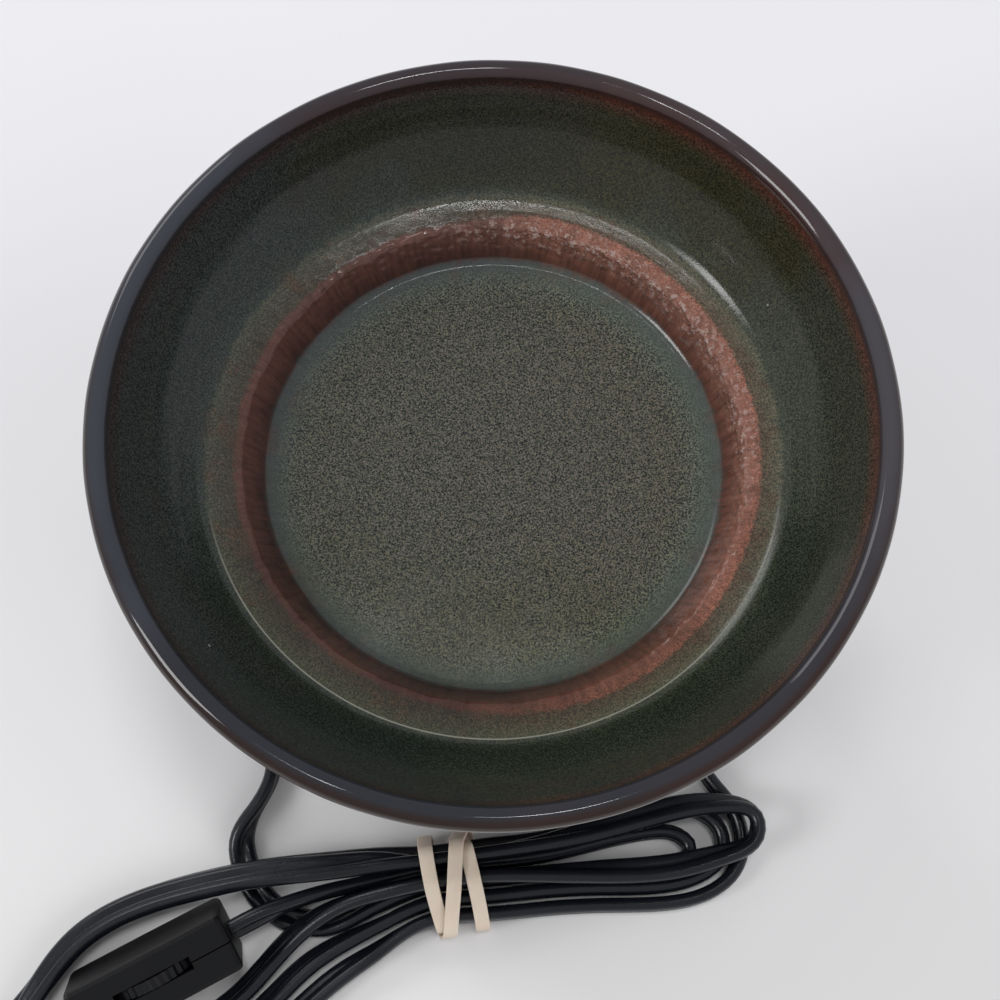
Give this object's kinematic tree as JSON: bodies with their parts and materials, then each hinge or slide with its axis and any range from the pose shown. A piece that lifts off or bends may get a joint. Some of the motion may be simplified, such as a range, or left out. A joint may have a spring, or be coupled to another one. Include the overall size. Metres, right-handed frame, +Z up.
{
  "type": "electric wax warmer",
  "caption": "Glazed dish that lifts off a round lamp-heated stoneware body, on a flat twin lead with a thumbwheel switch and a two-blade plug, folded into a banded hank.",
  "frame": {"origin": "centre of the circle of feet, on the surface that the warmer stands on", "axes": "+Z up along the dish's axis, -Y towards the viewer and the banded lead, +Y towards the lead's exit at the back"},
  "size_m": [0.1884, 0.2331, 0.126],
  "materials": {
    "dish_glaze": "glossy glazed stoneware, brown and green",
    "body_glaze": "glossy dark glazed stoneware",
    "plate_black": "matt moulded",
    "anchor_nylon": "matt moulded",
    "zinc_steel": "zinc plated",
    "foot_rubber": "matt",
    "holder_phenolic": "satin moulded phenolic",
    "brass": "bright",
    "wire_insulation": "satin vinyl",
    "lamp_cap_metal": "bright",
    "lamp_glass": "clear",
    "lamp_stem": "clear with wires",
    "lamp_insulator": "glossy black",
    "lead_vinyl": "satin vinyl",
    "switch_plastic": "fine grained",
    "wheel_plastic": "satin",
    "band_rubber": "matt natural",
    "plug_vinyl": "satin vinyl"
  },
  "bodies": {
    "warmer": {"body_shell": "body_glaze", "base_plate": "plate_black", "anchor_1": "anchor_nylon", "anchor_2": "anchor_nylon", "anchor_3": "anchor_nylon", "base_screw_1": "zinc_steel", "base_screw_2": "zinc_steel", "base_screw_3": "zinc_steel", "foot_1": "foot_rubber", "foot_2": "foot_rubber", "foot_3": "foot_rubber", "foot_4": "foot_rubber", "socket_bracket": "zinc_steel", "bracket_screw_1": "zinc_steel", "bracket_screw_2": "zinc_steel", "lamp_socket": "holder_phenolic", "socket_shell": "brass", "socket_rivet": "brass", "socket_contact": "brass", "terminal_screw_1": "zinc_steel", "terminal_screw_2": "zinc_steel", "lead_wire_1": "wire_insulation", "lead_wire_2": "wire_insulation", "bulb_tip": "lamp_cap_metal", "bulb_insulator": "lamp_insulator", "bulb_cap": "lamp_cap_metal", "bulb_glass": "lamp_glass", "bulb_mount": "lamp_stem", "strain_relief": "lead_vinyl", "cord_feed": "lead_vinyl", "cord_hank": "lead_vinyl", "cord_tail": "lead_vinyl", "rubber_band": "band_rubber", "switch_case_front": "switch_plastic", "switch_case_back": "switch_plastic", "wheel_pin": "zinc_steel", "switch_contact_1": "brass", "switch_contact_2": "brass", "switch_screw_1": "zinc_steel", "switch_screw_2": "zinc_steel", "plug_body": "plug_vinyl", "plug_blade_narrow": "brass", "plug_blade_wide": "brass"},
    "dish": {"wax_dish": "dish_glaze"},
    "wheel": {"switch_wheel": "wheel_plastic"}
  },
  "joints": [
    {"name": "dish_lift", "type": "slide", "parent": "warmer", "child": "dish", "axis": [0, 0, 1], "range_m": [0, 0.04]},
    {"name": "wheel_turn", "type": "hinge", "parent": "warmer", "child": "wheel", "pos_m": [-0.07344, -0.09039, 0.01376], "axis": [-0.4512, 0.8309, 0.3256], "continuous": true}
  ]
}
